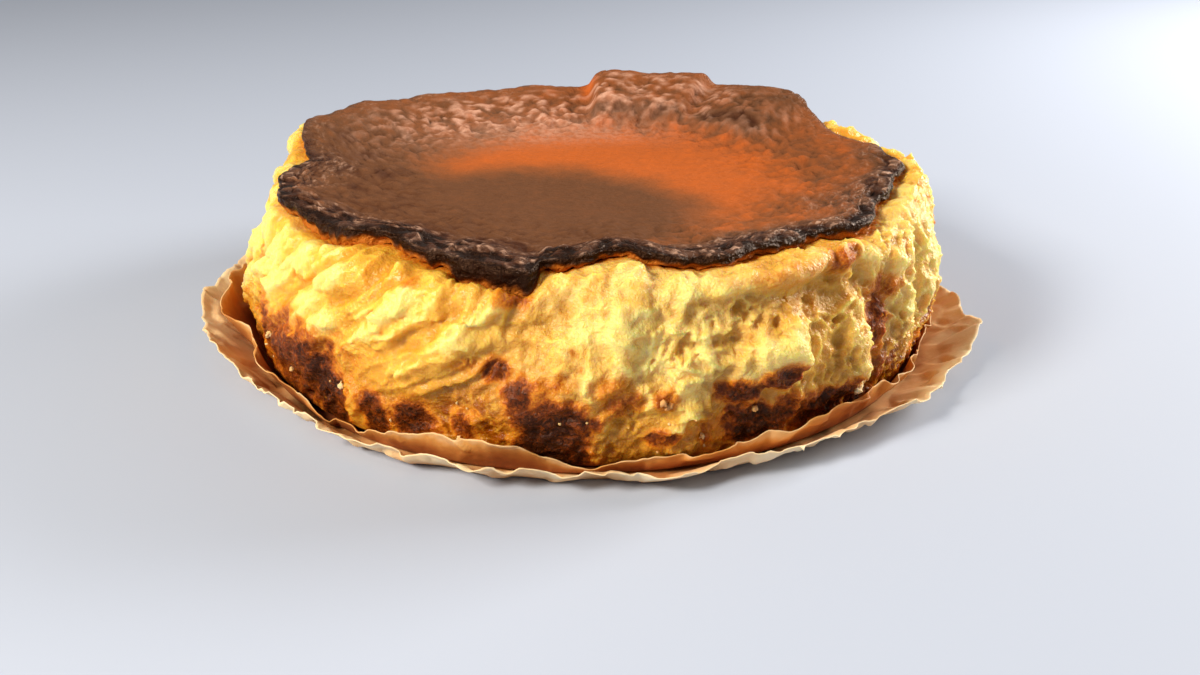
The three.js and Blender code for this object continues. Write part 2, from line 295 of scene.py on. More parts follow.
def rolled(name, spans, around):
    """A grid rolled into a closed round, with bearings across it and stations of the half section up it.
    Gives the mesh, and each point's bearing, span and share along that span."""
    stations = [(i, k / steps) for i, (steps, span) in enumerate(spans) for k in range(steps)]
    stations = np.array(stations + [(len(spans) - 1, 1)])
    shape = bmesh.new()
    bmesh.ops.create_grid(shape, x_segments=around, y_segments=len(stations) - 1, size=1)
    grid = np.array([v.co for v in shape.verts])
    bearing = math.pi * grid[:, 0]
    at_span, share = stations[np.rint((grid[:, 1] + 1) / 2 * (len(stations) - 1)).astype(int)].T
    radius = np.zeros(len(grid))
    height = np.zeros(len(grid))
    for i, (steps, span) in enumerate(spans):
        here = at_span == i
        radius[here], height[here] = span(share[here], bearing[here])
    span_layer = shape.verts.layers.float.new("span")
    share_layer = shape.verts.layers.float.new("share")
    for v, point, i, s in zip(shape.verts, place(radius, bearing, height) * MM, at_span, share):
        v.co = point
        v[span_layer] = i
        v[share_layer] = s
    bmesh.ops.remove_doubles(shape, verts=shape.verts, dist=1e-6)
    bmesh.ops.recalc_face_normals(shape, faces=shape.faces)
    mesh = bpy.data.meshes.new(name)
    shape.to_mesh(mesh)
    shape.free()
    points = points_of(mesh)
    bearing = np.arctan2(points[:, 0], -points[:, 1])
    return mesh, bearing, np.rint(read(mesh, "span")).astype(int), read(mesh, "share")


CURD_SPANS = [(1, base_span), (3, foot_span), (57, side_span), (28, shoulder_span), (3, crown_span)]
SHOULDER, CROWN = 3, 4
curd_mesh, bearing, at_span, share = rolled("curd_round", CURD_SPANS, CURD_AROUND)
form = points_of(curd_mesh)
height = form[:, 2]

# Folds: ridges with wide hollows between, slanting on the left of the front and upright on its right. In each
# line of relief a factor is a height in mm, and a noise's second value is its size in mm. On the front, where
# modelled is 1, ridges and bulges are also listed one by one.
slanting = near(bearing, -35, 42) - 0.25 * near(bearing, 150, 68.75)
lean = (0.15 + 1.25 * slanting) * (height - 30)
turned = bearing - lean / TIN_RADIUS + 13 * grain(form, 28, 5) / TIN_RADIUS
twisted = place(TIN_RADIUS, turned, 0.5 * height + 8 * grain(form, 28, 6))
strength = 0.45 + 0.75 * ramp(-0.3, 0.35, grain(form, 34, 8))
fold = 0.28 - np.abs(grain(twisted, 17, 9))
fine_fold = 0.26 - np.abs(grain(twisted, 7, 10))
modelled = ramp(76, 60, np.abs(np.degrees(bearing)))
relief = strength * ((2.6 - 1.2 * modelled) * fold + (1.5 + 0.7 * modelled) * fine_fold)
relief += 0.5 * grain(form, 13, 11)

# Ridges on the front, listed one by one: a line of bearings and heights, how far out, and the widths of its
# two sides, left or upper side first
RIDGES = [
    ([(-37, 29), (-31, 39), (-26, 48)], 3.0, 4, 1.7),
    ([(-30, 30), (-25.5, 40), (-20, 49)], 3.0, 4, 1.7),
    ([(-25, 29), (-20, 37), (-15.5, 43), (-11.5, 50)], 3.4, 4, 1.7),
    ([(-20, 37), (-14, 39), (-8, 40)], 1.6, 3, 2),
    ([(-45, 33), (-41, 41), (-36, 49)], 2.6, 4, 1.7),
    ([(-55, 36), (-50, 44), (-46, 51)], 2.2, 4, 1.7),
    ([(-66, 26), (-62, 36), (-57, 47)], 1.8, 4, 2.4),
    ([(8, 33), (8.7, 46), (8, 57)], 2.0, 4, 1.6),
    ([(1, 20), (2, 29), (1.3, 38)], 1.6, 3, 2),
    ([(5, 50), (1, 54), (-3, 56)], 1.8, 3, 4),
    ([(4.5, 24), (5, 36), (4.2, 48)], 1.3, 2.5, 1.5),
    ([(13, 30), (12.5, 42), (13.5, 52)], 1.3, 2.5, 1.5),
    ([(-3, 30), (-2.5, 40), (-4, 50)], 1.3, 2.5, 1.8),
    ([(28.2, 24), (28.6, 32), (27, 38), (23, 38.5)], 2.4, 4, 1.6),
    ([(15, 36), (19, 34), (24, 36)], 1.6, 3, 3),
    ([(31.5, 46), (31, 35), (30.5, 24)], -2.0, 3, 3),
    ([(40, 46), (42, 36), (41, 24)], 1.8, 4, 2),
    ([(51, 49), (54, 40), (53, 28)], 1.5, 4, 2),
    ([(61, 47), (62, 35), (60, 22)], 1.2, 4, 2),
    ([(70, 50), (72, 38), (70, 25)], 1.2, 4, 2.4),
]
swayed_x = bearing * TIN_RADIUS + 2.2 * grain(form, 9, 201) + 0.8 * grain(form, 3, 202)
swayed_y = height + 2.2 * grain(form, 9, 203) + 0.8 * grain(form, 3, 204)
for line, out, left, right in RIDGES:
    corners = [(math.radians(turn) * TIN_RADIUS, level) for turn, level in line]
    nearest = np.full(len(form), 1e6)
    falling = np.ones(len(form))
    for start, end in zip(corners, corners[1:]):
        run, climb = end[0] - start[0], end[1] - start[1]
        x, y = swayed_x - start[0], swayed_y - start[1]
        part = np.clip((x * run + y * climb) / (run * run + climb * climb), 0, 1)
        off_x, off_y = x - part * run, y - part * climb
        away = np.hypot(off_x, off_y)
        width = np.where(run * off_y - climb * off_x > 0, left, right)
        falling = np.where(away < nearest, width, falling)
        nearest = np.minimum(away, nearest)
    relief += out * (0.75 + 0.6 * grain(form, 11, 205)) * np.exp(0.25 - np.hypot(nearest / falling, 0.25))


def crags(points, size, seed):
    """Sharp broken ridges at three sizes, with the smaller ones only on the larger, mostly from 0 to 1."""
    total = np.zeros(len(points))
    weight = np.ones(len(points))
    for octave in range(3):
        ridge = np.clip(1 - 2.4 * np.abs(grain(points, size / 2**octave, seed + octave)), 0, 1) ** 2
        total += weight * ridge / 1.7**octave
        weight = np.minimum(2 * ridge * weight, 1)
    return total / 1.9


warp = np.stack([grain(form, 9, 101), grain(form, 9, 102), grain(form, 9, 103)], axis=1)
warped = form + 4 * warp


def facets(points, middles, out, tilt, blend):
    """Flat places round the middles, each raised and tilted by its own amount, that meet in creases."""
    tree = KDTree(len(middles))
    for i, middle in enumerate(middles):
        tree.insert(middle, i)
    tree.balance()
    closest = np.array([[(i, d) for co, i, d in tree.find_n(point, 3)] for point in points])
    facet = closest[:, :, 0].astype(int)
    weight = np.exp((closest[:, :1, 1] - closest[:, :, 1]) / blend)
    tilted = out[facet] + (tilt[facet] * (points[:, None] - middles[facet])).sum(axis=2)
    return (weight * tilted).sum(axis=1) / weight.sum(axis=1)


FACET_COUNT = 420
facet_bearing = draw.uniform(-math.pi, math.pi, FACET_COUNT)
facet_middles = place(TIN_RADIUS, facet_bearing, draw.uniform(-6, 36, FACET_COUNT))
facet_out = draw.uniform(-0.9, 0.9, FACET_COUNT)
facet_tilt = draw.normal(0, 0.22, (FACET_COUNT, 3))
relief += (0.7 - 0.35 * modelled) * facets(twisted, facet_middles, facet_out, facet_tilt, 1.4)
slanted = place(TIN_RADIUS, turned, 0.3 * height + 4 * grain(form, 28, 6)) + 1.2 * warp
relief += 1.7 * modelled * ramp(0, -0.35, bearing) * ramp(16, 30, height) * (crags(slanted, 8.5, 216) - 0.3)
broad = 0.5 + 0.3 * ramp(0.2, -0.3, bearing)
relief += broad * modelled * (crags(twisted + 2.5 * warp, 12, 210) - 0.35) + 0.5 * grain(warped, 5, 211)
relief += (0.9 + 0.9 * ramp(-0.2, 0.3, bearing)) * (crags(warped, 5.5, 212) - 0.3)
relief += 0.6 * near(bearing, 8, 24) * grain(warped, 3.2, 215)

# Bulges and dimples, listed one by one: bearing, height, half width, half height, and how far out
BULGES = [
    (29, 31, 11, 9, 2.6),
    (7, 47, 9, 7, 0.8),
    (-3, 46, 5, 4, -1.6),
    (2.5, 38, 4, 3.5, -1.2),
    (18, 37, 9, 5, -1.8),
    (-40, 50, 10, 5, 1.0),
    (52, 44, 7, 8, 1.8),
    (34, 47, 24, 4, -1.6),
    (-19, 44, 7, 5, -1.2),
    (-8, 46, 9, 6, 0.8),
    (-35, 42, 6, 6, -1.2),
    (24, 33, 12, 7, 1.5),
    (47, 34, 6, 9, -1.4),
]
for bulge_bearing, bulge_height, half_width, half_height, out in BULGES:
    across = bearing_gap(bearing, bulge_bearing) * TIN_RADIUS / half_width
    relief += out * bell(np.hypot(across, (height - bulge_height) / half_height) ** 1.5)

# The roll of curd that bulges out under the lip on the right of the front
ROLL = dict(bearing=29, spread=17, level=53.8, bow=1.5, half_height=2.8, out=3.4)
along = bearing_gap(bearing, ROLL["bearing"]) / math.radians(ROLL["spread"])
roll_ends = bell(along**3)
roll_level = ROLL["level"] - ROLL["bow"] * along**2
above = (height + 1.2 * grain(form, 9, 214) - roll_level) / ROLL["half_height"]
roll = roll_ends * np.exp(-np.where(above < 0, 1.5 * above, above) ** 4)
relief += roll * (ROLL["out"] - 0.75 * relief) - 1.5 * roll_ends * bell(above + 2)

# Tears: shelves with sharp edges on the right of the front, and here and there all round
tearing = near(bearing, 38, 40) + 0.7 * ramp(0.05, 0.35, grain(form, 40, 13))
tearing = np.minimum(0.25 + tearing, 1) * ramp(8, 20, height)
level = 3.2 * grain(warped, 12, 14)
shelf = np.floor(level) + ramp(0.3, 0.6, level - np.floor(level))
broken = ramp(-0.05, 0.3, grain(form, 15, 206)) * (3.2 - 0.8 * modelled)
relief += tearing * (0.5 * shelf + broken * (crags(warped, 9, 104) - 0.3) + 0.4 * grain(form, 2.1, 16))
# Holes: bearing, height, radius and depth
HOLES = [(13.5, 39.5, 2.6, 2.6), (21, 47, 1.9, 2.4), (23, 46.5, 1.1, 1.4), (11, 30, 1.2, 1.2)]
HOLES += [(33, 45, 1.3, 1.4), (17, 44, 1.0, 1.2), (26, 43, 1.4, 1.6), (37, 38, 1.5, 1.6), (9, 35, 0.9, 1.0)]
for i in range(40):
    HOLES.append((
        360 * scatter(i + 300) - 180,
        10 + 40 * scatter(i + 400),
        0.7 + 1.1 * scatter(i + 500) ** 3,
        0.7 + 0.8 * scatter(i + 600),
    ))
uneven = 1 + 0.9 * grain(form, 2.6, 25)
for hole_bearing, hole_height, hole_radius, hole_depth in HOLES:
    across = bearing_gap(bearing, hole_bearing) * TIN_RADIUS
    away = np.hypot(across, height - hole_height) / hole_radius * uneven
    relief += 0.35 * hole_depth * bell((away - 1.5) / 0.5) - hole_depth * ramp(1.2, 0.5, away)

# Crumb: the curd is coarse and grainy low down, where it browned against the paper
crumbly = ramp(26, 9, height + 10 * grain(form, 16, 17))
relief += (0.25 + 0.75 * crumbly) * (0.5 * grain(form, 2.9, 18) + 0.4 * grain(form, 1.8, 19))
relief *= np.where(at_span == SHOULDER, ramp(1.0, 0.6, share), at_span < SHOULDER) * ramp(2, 9, height)
set_points(curd_mesh, form + relief[:, None] * normals_of(curd_mesh))

# Where the oven browned it: scorched patches, most near the paper, amber under the lip, a toasted foot.
# A patch has a bearing, height, half width, half height and darkness.
SCORCHES = [
    (-49, 16, 23, 15, 1.0),
    (-41, 14, 9, 14, 1.3),
    (-57, 25, 9, 7, 0.8),
    (-31, 11, 5, 8, 1.1),
    (-24.5, 13, 7, 7, 1.1),
    (-17, 14, 4, 4, 0.9),
    (-12, 32, 4, 2.6, 1.0),
    (-16, 33, 5, 2.5, 0.4),
    (-5, 14, 10, 13, 1.35),
    (-8.5, 25, 4, 5, 1.1),
    (-2.5, 8, 6, 8, 1.25),
    (-10, 51, 5, 2.5, 0.6),
    (-25, 52, 3, 1.5, 0.35),
    (-47, 44, 3, 1.5, 0.35),
    (-66, 41, 4, 2, 0.4),
    (3.5, 28, 6, 5, 0.4),
    (5, 23, 5, 4, 0.65),
    (10.5, 24, 3, 3, 0.6),
    (11, 13, 4.5, 2.5, 0.9),
    (20.5, 25, 6, 4, 1.15),
    (26, 27.5, 6, 5, 1.1),
    (24.5, 12.5, 12, 6.5, 1.25),
    (35, 13.5, 11, 5.5, 1.2),
    (44, 9, 8, 4, 1.0),
    (47, 33, 5, 8, 0.85),
    (48, 40, 7, 3, 0.6),
    (46, 27, 6, 6, 0.8),
    (38, 53, 7, 2, 0.6),
    (30, 54, 20, 2.5, 0.28),
    (75, 16, 10, 12, 1.05),
    (80, 42, 5, 8, 0.8),
    (87, 30, 6, 15, 0.8),
    (66, 8, 12, 5, 1.0),
    (-75, 14, 11, 10, 0.55),
]
for i in range(14):
    SCORCHES.append((
        95 + 12.5 * i + 6 * scatter(i + 700),
        6 + 12 * scatter(i + 710),
        8 + 8 * scatter(i + 720),
        7 + 11 * scatter(i + 730),
        0.7 + 0.5 * scatter(i + 740),
    ))
ragged = 1 + 0.5 * grain(form, 8, 20) + 0.3 * grain(form, 3, 21)
scorch = np.zeros(len(form))
for patch_bearing, patch_height, half_width, half_height, darkness in SCORCHES:
    across = bearing_gap(bearing, patch_bearing) * TIN_RADIUS / half_width
    away = np.hypot(across, (height - patch_height) / half_height) * ragged
    scorch = np.maximum(scorch, darkness * ramp(1.7, 0.4, away))
toast = ramp(34, 8, height + 16 * grain(form, 15, 22))
toast *= 1 - 0.85 * near(bearing, -34.5, 2.5)
toast *= 1 - 0.45 * near(bearing, 9, 8)
from_lip = np.hypot(np.hypot(form[:, 0], form[:, 1]) - neck_radius(bearing), height - lip_low(bearing))
amber = np.where(at_span == SHOULDER, ramp(4, 0.5, from_lip + 2 * grain(form, 5, 213)), at_span == CROWN)
amber *= 1 - 0.85 * near(bearing, -72, 20)
# Painted light: the curd is painted paler cream where light falls brightest, high on the middle of the front
# and on the right.
lit_pale = near(bearing, 9, 17) + near(bearing, 60, 16)
lit_pale *= ramp(16, 32, height)
# Painted shade: the curd is painted a deeper gold in its hollows and creases, and where the tongue's shadow
# falls under the lip. A golden patch is added on the left of the front, with less gold high on the left and
# round the back.
gold_and_hollow_shade = 1.4 * near(bearing, -20, 13) - relief - 0.7 * crease_relief(bearing, height)
gold_and_hollow_shade += 1.5 * near(bearing, -9, 5) * bell((height - 47) / 8)
gold_and_hollow_shade -= 1.6 * near(bearing, -62, 14) * ramp(36, 46, height)
gold_and_hollow_shade -= 0.7 * (1 - modelled)
write(curd_mesh, "gold_and_hollow_shade", gold_and_hollow_shade)
write(curd_mesh, "scorch", scorch)
write(curd_mesh, "toast", toast)
write(curd_mesh, "amber", amber)
write(curd_mesh, "lit_pale", lit_pale)
write(curd_mesh, "rough", np.maximum(toast, 0.8 * tearing))


def colour(code):
    """An sRGB hex code as a linear colour."""
    parts = [int(code[i:i + 2], 16) / 255 for i in (1, 3, 5)]
    return [p / 12.92 if p <= 0.04045 else ((p + 0.055) / 1.055) ** 2.4 for p in parts] + [1]


def add(tree, kind, inputs=None, stops=None, **settings):
    """Adds a node with its settings. An input is a value, or the output socket that it is linked to."""
    made = tree.nodes.new(kind)
    for key, value in settings.items():
        setattr(made, key, value)
    for key, value in (inputs or {}).items():
        if isinstance(value, bpy.types.NodeSocket):
            tree.links.new(value, made.inputs[key])
        else:
            made.inputs[key].default_value = value
    for i, (position, code) in enumerate(stops or []):
        marks = made.color_ramp.elements
        mark = marks[i] if i < len(marks) else marks.new(position)
        mark.position = position
        mark.color = colour(code)
    return made


def new_material(name):
    material = bpy.data.materials.new(name)
    material.use_nodes = True
    material.node_tree.nodes.clear()
    return material, material.node_tree


# Baked curd: moist set cheese custard, butter yellow on its ridges, golden in its hollows from painted shade,
# cream at the middle of the front and on the right from painted light, and caramelised low down. Light goes a
# few millimetres into it, so its folds glow, and it is shiny.
# Map Range has its limits as inputs 1 to 4, and Mix has its share and two colours as 0, 6 and 7.
curd_material, tree = new_material("baked_curd")
where = add(tree, "ShaderNodeTexCoord").outputs["Object"]
gold_and_hollow_shade_in, scorch_in, toast_in, amber_in, lit_pale_in, rough_in = (
    add(tree, "ShaderNodeAttribute", attribute_name=name).outputs["Fac"]
    for name in ("gold_and_hollow_shade", "scorch", "toast", "amber", "lit_pale", "rough")
)
blotches, grains, specks = (
    add(tree, "ShaderNodeTexNoise", {"Vector": where, "Scale": 1 / size, "Detail": detail}).outputs["Fac"]
    for size, detail in ((16 * MM, 5.0), (2.8 * MM, 4.0), (0.9 * MM, 2.0))
)
# Painted shade: the hollows' shade turns the curd from butter yellow towards deeper gold.
hollow_shade = add(tree, "ShaderNodeMapRange", {"Value": gold_and_hollow_shade_in, 1: -3.4, 2: 1.2, 3: 0.0, 4: 0.9}).outputs[0]
flecks = add(tree, "ShaderNodeTexNoise", {
    "Vector": where, "Scale": 1 / (6 * MM), "Detail": 3.0, "Distortion": 0.6
}).outputs["Fac"]
flecked_and_shaded = add(tree, "ShaderNodeMath", {0: flecks, 1: 0.6, 2: hollow_shade}, operation="MULTIPLY_ADD").outputs[0]
gilded_and_shaded = add(tree, "ShaderNodeMath", {0: blotches, 1: 0.8, 2: flecked_and_shaded}, operation="MULTIPLY_ADD").outputs[0]
gold_and_shade = add(
    tree, "ShaderNodeMapRange", {"Value": gilded_and_shaded, 1: 0.75, 2: 1.55}, interpolation_type="SMOOTHSTEP"
).outputs[0]
fresh_scale = [(0.0, "#f9de80"), (0.35, "#f0be4c"), (0.7, "#e7ad3e"), (1.0, "#d7992e")]
fresh = add(tree, "ShaderNodeValToRGB", {0: gold_and_shade}, stops=fresh_scale).outputs[0]
# Painted light: cream is mixed in where the curd is painted as brightly lit.
creaming = add(tree, "ShaderNodeMapRange", {"Value": flecks, 1: 0.35, 2: 0.65, 3: 0.9, 4: 0.3}).outputs[0]
lit_cream = add(tree, "ShaderNodeMath", {0: lit_pale_in, 1: creaming}, operation="MULTIPLY").outputs[0]
patchy = add(tree, "ShaderNodeMapRange", {"Value": grains, 1: 0.3, 2: 0.52}).outputs[0]
toasty = add(tree, "ShaderNodeMath", {0: toast_in, 1: patchy}, operation="MULTIPLY").outputs[0]
mixed = add(tree, "ShaderNodeMath", {0: grains, 1: specks}, operation="ADD").outputs[0]
speckle = add(tree, "ShaderNodeMath", {0: mixed, 1: 1.0}, operation="SUBTRACT").outputs[0]
burn = add(
    tree, "ShaderNodeMath", {0: scorch_in, 1: speckle, 2: scorch_in}, operation="MULTIPLY_ADD"
).outputs[0]
layers = [(lit_cream, "#fce18e"), (toasty, "#944c02"), (amber_in, "#cd7820")]
for start, end, code in [
    (0.05, 0.4, "#d88a22"), (0.35, 0.65, "#ac5a12"), (0.6, 0.95, "#6e3008"), (0.95, 1.3, "#3c1804")
]:
    depth = add(
        tree, "ShaderNodeMapRange", {"Value": burn, 1: start, 2: end}, interpolation_type="SMOOTHSTEP"
    ).outputs[0]
    layers.append((depth, code))
baked = fresh
for cover, code in layers:
    baked = add(tree, "ShaderNodeMix", {0: cover, 6: baked, 7: colour(code)}, data_type="RGBA").outputs[2]
grainy = add(tree, "ShaderNodeMapRange", {"Value": rough_in, 1: 0.0, 2: 0.7, 3: 0.3, 4: 0.9}).outputs[0]
curd_bump = add(tree, "ShaderNodeBump", {
    "Height": mixed, "Strength": grainy, "Distance": 0.8 * MM
}).outputs[0]
dry = add(tree, "ShaderNodeMapRange", {"Value": burn, 1: 0.1, 2: 0.7, 3: 0.3, 4: 0.42}).outputs[0]
wet = add(tree, "ShaderNodeMapRange", {"Value": burn, 1: 0.2, 2: 0.8, 3: 0.45, 4: 0.22}).outputs[0]
curd_shader = add(tree, "ShaderNodeBsdfPrincipled", {
    "Base Color": baked,
    "Roughness": dry,
    "IOR": 1.42,
    "Specular IOR Level": wet,
    "Subsurface Weight": 0.75,
    "Subsurface Radius": (1.0, 0.62, 0.12),
    "Subsurface Scale": 3.5 * MM,
    "Normal": curd_bump,
})
add(tree, "ShaderNodeOutputMaterial", {"Surface": curd_shader.outputs[0]})


def shown(name, mesh, material, node):
    mesh.materials.append(material)
    mesh.polygons.foreach_set("use_smooth", np.ones(len(mesh.polygons), bool))
    piece = bpy.data.objects.new(name, mesh)
    bpy.context.scene.collection.objects.link(piece)
    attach(piece, "root")
    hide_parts(node)
    return piece


shown("curd_round", curd_mesh, curd_material, "cheesecake")

# The burnt skin: the top of the custard, caramelised to a leather that sank as it cooled, puffed up in two
# lobes at the back, and charred to cinder on its ragged lip, which hangs over the side. It is rolled as the
# curd is, with an underside that is out of sight in the curd.
LIP_REACH = 4.0
LIP_FACE = 0.55
CRUST = 1.3
UNDER_DEPTH = 5.0
DISH_DEPTH = 11.5
DISH_FLOOR = RIM_HEIGHT - DISH_DEPTH
BOWL = 2.7
BOWL_SWING = 0.8
CREST_WIDTH = 4.0
CREST_RISE = 0.5
RIM_FADE = 22.0
OVERHANG_FADE = 8.0
SKIN_AROUND = 760
DISH_SPACING = 1.5
LOBES = [
    dict(bearing=164.5, spread=15, sharp=14, rise=7, width=24),
    dict(bearing=134, spread=15, sharp=4, rise=6.5, width=26),
]
LOBE_TOP = 0.35
LOBE_ROLL = 0.6


def lobe_height(bearing, inwards):
    total = np.zeros_like(bearing)
    for lobe in LOBES:
        along = np.abs(bearing_gap(bearing, lobe["bearing"])) / math.radians(lobe["spread"])
        across = (inwards / lobe["width"] - LOBE_TOP) / LOBE_ROLL
        total += lobe["rise"] * np.exp(-along ** lobe["sharp"] - across**4)
    return total


def under_span(t, bearing):
    """Out of sight in the curd."""
    neck = neck_radius(bearing)
    return neck * t, DISH_FLOOR - UNDER_DEPTH + (lip_low(bearing) - DISH_FLOOR + UNDER_DEPTH) * t**5


def lip_span(t, bearing):
    low = lip_low(bearing)
    top = rim_height(bearing) + tongue("up", bearing) + lobe_height(bearing, 0)
    edge = skin_radius(bearing) + overhang(bearing)
    face = np.minimum(t / LIP_FACE, 1)
    turn = np.clip((t - LIP_FACE) / (1 - LIP_FACE), 0, 1) * math.pi / 2
    inwards = LIP_TUCK * (1 - face) ** 1.5 + LIP_REACH * (1 - np.cos(turn) ** 0.5)
    return edge - inwards, low + (top - CRUST - low) * face + CRUST * np.sin(turn) ** 0.8


def dish_span(t, bearing):
    edge = skin_radius(bearing) - LIP_REACH
    inwards = edge * t**DISH_SPACING
    radius = edge - inwards + overhang(bearing) * bell(inwards / OVERHANG_FADE)
    bowl = BOWL - BOWL_SWING * np.cos(bearing + math.radians(20))
    crest = CREST_RISE * bell(inwards / CREST_WIDTH - 1) * (1 - bell(inwards / 2))
    rim = (rim_height(bearing) - RIM_HEIGHT) * bell(inwards / RIM_FADE) + lobe_height(bearing, inwards)
    rim += tongue("up", bearing) * bell(inwards / OVERHANG_FADE)
    return radius, DISH_FLOOR + DISH_DEPTH * (1 - inwards / edge) ** bowl + crest + rim


SKIN_SPANS = [(3, under_span), (20, lip_span), (104, dish_span)]
UNDER, LIP, DISH = range(3)
skin_mesh, bearing, at_span, share = rolled("burnt_skin", SKIN_SPANS, SKIN_AROUND)
form = points_of(skin_mesh)
height = form[:, 2]
inwards = np.where(at_span == DISH, share**DISH_SPACING * SKIN_RADIUS, 0)

# Relief of the skin: a leathery crust along the lip, drips on its face, wrinkles on the lobes and back wall.
# strip is the skin laid out flat, shortened along the rim so that noise on it is drawn out that way.
front = ramp(-0.25, 0.35, np.cos(bearing))
crust_reach = 8 + 5 * near(bearing, 62, 34.38) + 3 * near(bearing, -85, 22.92)
crust_reach += 9 * grain(form, 26, 30) + 4 * grain(form, 6, 29)
across = np.where(at_span == LIP, 7 * (share - 1), inwards)
strip = place(0.45 * SKIN_RADIUS, bearing, across)
crust = bell(inwards / np.maximum(crust_reach, 3)) * (0.25 + 0.75 * front)
face = np.where(at_span == LIP, ramp(LIP_FACE + 0.1, LIP_FACE - 0.2, share), 0)
drips = grain(place(SKIN_RADIUS, bearing, 0.15 * height), 2.6, 33)
lobes = np.minimum(lobe_height(bearing, inwards) / 5, 1)
back_wall = near(bearing, -158, 40) * bell((inwards - 20) / 17)
wrinkled = np.maximum(0.8 * lobes, back_wall)
drawn = form + 2.5 * np.stack([grain(form, 6, seed) for seed in (34, 35, 36)], axis=1)
crevice = ramp(0.13, 0.0, np.abs(grain(drawn * (0.6, 1, 1), 6.5, 37))) * ramp(-0.1, 0.2, grain(form, 15, 44))
crack = ramp(0.16, 0.0, np.abs(grain(strip + 0.3 * (drawn - form), 2.4, 31)))
wrinkles = 0.9 * grain(strip, 2.8, 32) + 0.6 * grain(strip, 1.4, 28)
rumple = 0.9 * grain(strip + 0.25 * (drawn - form), 3.2, 53) + 0.6 * grain(strip, 1.7, 54)
relief = crust * (wrinkles + 0.5 * grain(form, 6, 50) - 0.4 * crack)
relief += 0.5 * face * drips - 1.0 * wrinkled * crevice + 1.2 * wrinkled * grain(form, 7, 41)
wall = bell((inwards - 24) / 22)
crinkle = ramp(0.22, 0.0, np.abs(grain(drawn * (0.7, 1, 1), 5, 47)))
relief += wall * (0.8 * grain(form, 6, 38) + 1.1 * rumple - 0.5 * crinkle)
relief += 0.8 * grain(form, 19, 40) * ramp(0, 20, inwards)
# Craters: x, y, radius and depth
CRATERS = [(75, 3, 4, 1.6), (-20, 66, 3, 1.0), (-36, 62, 2.5, 0.8), (-50, 52, 2.5, 0.8)]
for x, y, radius, depth in CRATERS:
    away = np.hypot(form[:, 0] - x, form[:, 1] - y) / radius
    relief += 0.5 * depth * bell((away - 1.5) / 0.5) - depth * ramp(1.2, 0.4, away)
relief *= at_span != UNDER
set_points(skin_mesh, form + relief[:, None] * normals_of(skin_mesh))

# Its colours: a dull dark floor at the front left, a caramel slope round it, browner walls, a charred edge.
# The darkness runs from 0, thin and orange, to 1, burnt black; on top of the char it holds painted shade in
# hollows and cracks and painted light on crests and the back rim. spared is where the rim is brown and not
# charred.
x, y = form[:, 0], form[:, 1]
wander = 0.1 * grain(form, 22, 42) + 0.05 * grain(form, 7, 43)
floor_away = np.hypot((x + 17) / 54, (y + 41) / 57) + wander
slope_away = np.hypot((x - 7) / 61, (y - 4) / 62) + wander
dark_floor = ramp(1.22, 0.75, floor_away)
caramel = ramp(1.2, 0.75, slope_away)
left_wall = near(bearing, -82, 50) * ramp(55, 30, inwards)
right_wall = near(bearing, 85, 35) * ramp(45, 20, inwards)
# Painted shade and highlight: the walls are painted darker in the hollows of their wrinkles and lighter on
# the crests.
soot_and_shading = 0.27 - 0.22 * caramel + wall * (0.12 * grain(drawn, 9, 48) - 0.22 * rumple * (1 - 0.7 * caramel))
soot_and_shading += (0.52 - soot_and_shading) * dark_floor
soot_and_shading += (0.54 - soot_and_shading) * left_wall
spared = near(bearing, 55, 24) + near(bearing, -68, 22)
spared *= ramp(-2, 2, across + 3 * grain(strip, 5, 55))
soot_and_shading += (0.62 - 0.3 * spared - soot_and_shading) * crust
charred = bell(1.3 * inwards / np.maximum(crust_reach, 3)) * (1 - 0.8 * spared)
charred *= 0.8 + 0.7 * grain(form, 7, 45) + 0.4 * grain(strip, 3, 51)
soot_and_shading += (0.67 - soot_and_shading) * front * charred
# Painted shade: the crust is painted darker in the hollows between its wrinkles.
soot_and_shading += 0.5 * front * crust * ramp(0.15, -0.35, wrinkles) * (1 - 0.5 * spared)
soot_and_shading += 0.2 * near(bearing, 102, 14) * bell((inwards - 19) / 9)
# Painted shadow: a dark band where the lobes meet the dish below them.
soot_and_shading += 0.3 * np.minimum(lobe_height(bearing, 9 + 0 * inwards) / 5, 1) * bell((inwards - 23) / 3.5)
second_lobe = near(bearing, 128, 15) * lobes
# Lobe two is browner; painted shade darkens the creases of the wall.
soot_and_shading += 0.17 * second_lobe + 0.1 * wall * crinkle
soot_and_shading += 0.12 * ramp(0.0, 0.5, grain(drawn, 9, 46)) * left_wall - 0.08 * right_wall
# Painted light: the back of the rim is painted lighter where the light from behind catches it.
soot_and_shading -= 0.06 * bell(inwards / 6) * (1 - front)
soot_and_shading -= 0.4 * near(bearing, 180.5, 2) * bell(inwards / 9)
